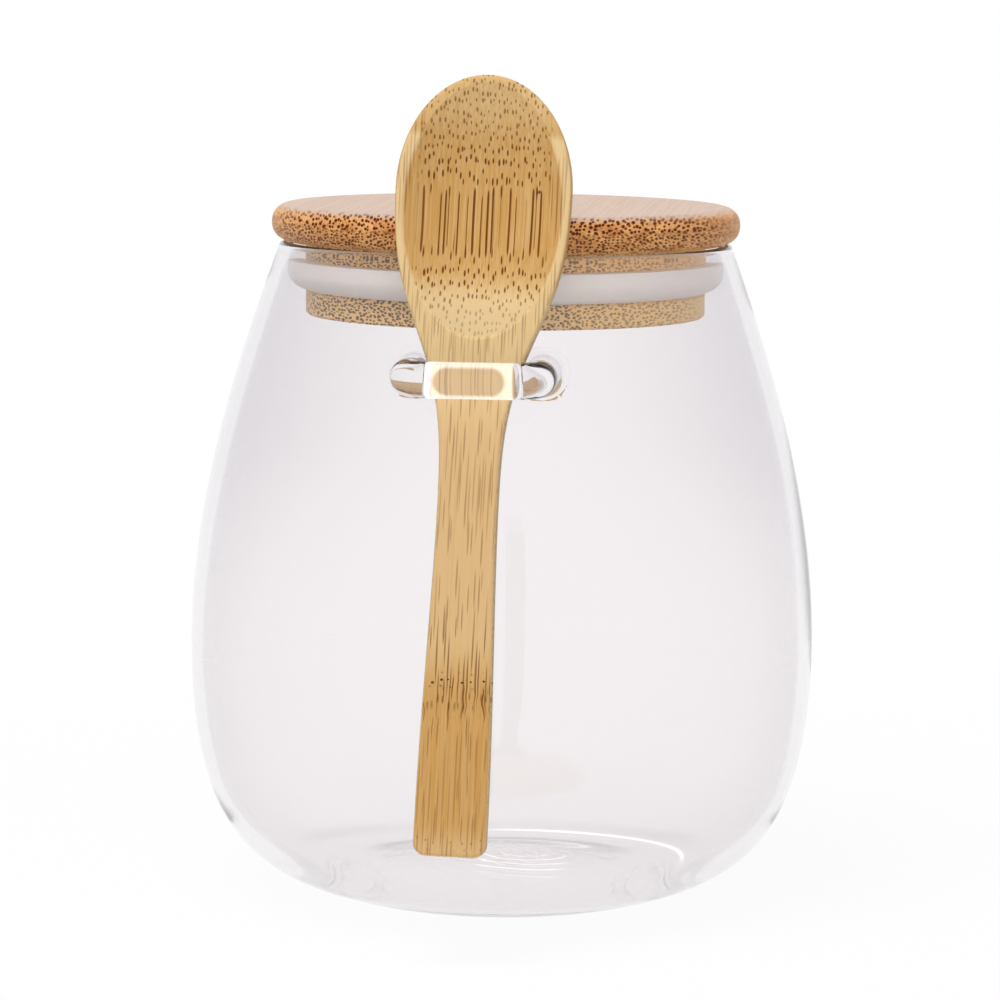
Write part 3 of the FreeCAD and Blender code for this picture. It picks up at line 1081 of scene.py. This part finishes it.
        rings = [leg_ring(self.weld, -self.weld_depth)]
        for angle in np.linspace(0.0, math.pi / 2, self.weld_rings):
            rings.append(leg_ring(self.weld * (1 - math.sin(angle)), self.weld * (1 - math.cos(angle))))
        rings += [leg_ring(0.0, self.weld, share) for share in (0.25, 0.5, 0.75, 1.0)]
        for angle in np.linspace(0.0, math.pi / 2, self.bend_rings)[1:]:
            reach = self.loop_bend + rod * np.cos(turns)
            rings.append(np.stack([
                side - self.loop_bend + reach * math.cos(angle),
                front + self.loop_bend - reach * math.sin(angle),
                self.loop_height + rod * np.sin(turns),
            ], axis=1))
        bar = rings[-1]
        rings += [bar * (share, 1.0, 1.0) for share in (0.66, 0.33)]
        mirror = np.array((-1.0, 1.0, 1.0))
        rings += [bar * (0.0, 1.0, 1.0)] + [ring * mirror for ring in reversed(rings)]
        count = self.rod_segments
        last = (len(rings) - 1) * count
        caps = [tuple(reversed(range(count))), tuple(last + step for step in range(count))]
        return mesh_object("loop_rod", np.vstack(rings), tube_faces(len(rings), count) + caps)


@dataclass
class BambooLid:
    """The turned lid with its grooved plug."""

    node: str = "bamboo_lid"
    slab_thickness: float = 6.4
    finish: LidBambooFinish = field(default_factory=LidBambooFinish)

    def build(self) -> None:
        """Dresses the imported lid."""
        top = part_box(self.node)[1].z * PER_MM
        dress(self.node, self.finish.make(top - self.slab_thickness, top))


@dataclass
class SealRing:
    """The silicone ring in the plug's groove."""

    node: str = "seal_ring"
    finish: SiliconeFinish = field(default_factory=SiliconeFinish)

    def build(self) -> None:
        """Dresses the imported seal."""
        dress(self.node, self.finish.make())


@dataclass
class BambooSpoon:
    """The spoon that hangs in the loop, leaning on the jar and tilted a little. Degrees and mm."""

    node: str = "bamboo_spoon"
    lean: float = 8.46
    tilt: float = 1.6
    held_at: tuple[float, float, float] = (0.0, -53.65, 96.5)
    hang: float = 78.87
    finish: SpoonBambooFinish = field(default_factory=SpoonBambooFinish)

    def build(self) -> None:
        """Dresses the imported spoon, with its grain along its own axis."""
        turn = Matrix.Rotation(math.radians(self.tilt), 3, "Y")
        turn = turn @ Matrix.Rotation(-math.radians(self.lean), 3, "X")
        along = turn @ Vector((0, 0, 1))
        end = (Vector(self.held_at) - along * self.hang) * MM
        dress(self.node, self.finish.make(along, turn @ Vector((1, 0, 0)), turn @ Vector((0, 1, 0)), end))


# ---------------------------------------------------------------- studio


@dataclass(frozen=True)
class SoftLamp:
    """A square lamp that faces the jar, unseen itself. Lengths in metres, power in watts."""

    name: str
    place: tuple[float, float, float]
    size: float
    power: float

    def hang(self) -> None:
        """Adds the lamp, which the camera, gloss and glass don't show."""
        data = bpy.data.lights.new(self.name, "AREA")
        data.size = self.size
        data.energy = self.power
        lamp = bpy.data.objects.new(self.name, data)
        bpy.context.scene.collection.objects.link(lamp)
        lamp.location = self.place
        aim = Vector((0, 0, 0.07)) - Vector(self.place)
        lamp.rotation_euler = aim.to_track_quat("-Z", "Y").to_euler()
        lamp.visible_camera = False
        lamp.visible_glossy = False
        lamp.visible_transmission = False


@dataclass
class Studio:
    """White table and surroundings, soft lamps and the camera. Lengths in metres, angles in degrees."""

    floor_radius: float = 3.0
    floor_corners: int = 96
    floor_drop: float = 0.0002
    near_glow: float = 0.92
    near_reach: Span = (0.08, 0.3)
    ambient: float = 0.4
    lamps: tuple[SoftLamp, ...] = (
        SoftLamp("key", (-0.2, -0.4, 1.2), 0.7, 12.0),
        SoftLamp("front", (0.3, -1.2, 0.05), 0.8, 5.5),
    )
    camera_distance: float = 0.789
    camera_height: float = 0.1661
    camera_azimuth: float = 5.46
    camera_pitch: float = 6.96
    camera_roll: float = 0.6
    aim_left: float = 0.00056
    lens: float = 161.6
    bounces: int = 32

    def build(self) -> None:
        """Sets up everything around the object."""
        self._world()
        self._floor()
        for lamp in self.lamps:
            lamp.hang()
        self._camera()
        scene = bpy.context.scene
        scene.view_settings.view_transform = "Standard"
        scene.cycles.max_bounces = self.bounces
        scene.cycles.transmission_bounces = self.bounces
        scene.cycles.glossy_bounces = self.bounces
        scene.cycles.transparent_max_bounces = self.bounces

    def _world(self) -> None:
        """White for the rays that show it, and soft light for the rest."""
        world = bpy.data.worlds.new("studio")
        bpy.context.scene.world = world
        tree = Tree(world)
        light = tree.node("ShaderNodeBackground", None, {"Color": WHITE, "Strength": self.ambient})
        white = tree.node("ShaderNodeBackground", None, {"Color": WHITE, "Strength": 1.0})
        surface = tree.mix_shader(tree.background_rays(), light, white)
        tree.node("ShaderNodeOutputWorld", None, {"Surface": surface})

    def _floor(self) -> None:
        """A round white table that keeps a faint shadow."""
        angles = [step * math.tau / self.floor_corners for step in range(self.floor_corners)]
        ring = [
            (self.floor_radius * math.cos(angle), self.floor_radius * math.sin(angle), -self.floor_drop)
            for angle in angles
        ]
        mesh = bpy.data.meshes.new("table_top")
        mesh.from_pydata(ring, [], [list(range(self.floor_corners))])
        floor = bpy.data.objects.new("table_top", mesh)
        bpy.context.scene.collection.objects.link(floor)
        material, tree = new_material("white_table")
        matt = tree.node("ShaderNodeBsdfDiffuse", None, {"Color": (0.9, 0.9, 0.9, 1)})
        glow = tree.node("ShaderNodeEmission", None, {"Color": WHITE, "Strength": 1.0})
        place = tree.position()
        away = tree.node("ShaderNodeVectorMath", {"operation": "LENGTH"}, {0: place}, "Value")
        share = self.near_glow + away.rise(*self.near_reach) * (1.0 - self.near_glow)
        tree.finish(tree.mix_shader(tree.background_rays() * share, matt, glow))
        mesh.materials.append(material)

    def _camera(self) -> None:
        """Places the camera a little to the right of the spoon, looking slightly down."""
        data = bpy.data.cameras.new("camera")
        data.lens = self.lens
        data.sensor_width = 36.0
        data.clip_start = 0.05
        camera = bpy.data.objects.new("camera", data)
        bpy.context.scene.collection.objects.link(camera)
        turn = math.radians(self.camera_azimuth)
        right = Vector((math.cos(turn), math.sin(turn), 0))
        away = Vector((-math.sin(turn), math.cos(turn), 0))
        camera.location = -away * self.camera_distance + Vector((0, 0, self.camera_height))
        drop = self.camera_distance * math.tan(math.radians(self.camera_pitch))
        aim = Vector((0, 0, self.camera_height - drop)) - right * self.aim_left
        facing = (aim - camera.location).to_track_quat("-Z", "Y")
        roll = Quaternion((0, 0, 1), math.radians(self.camera_roll))
        camera.rotation_euler = (facing @ roll).to_euler()
        bpy.context.scene.camera = camera


def main() -> None:
    """Builds the pieces in order, then the studio."""
    logging.basicConfig(level=logging.INFO, format="%(name)s: %(message)s")
    for part in (GlassJar(), BambooLid(), SealRing(), BambooSpoon()):
        part.build()
        LOG.info("built %s", type(part).__name__)
    Studio().build()


if __name__ == "__main__":
    main()
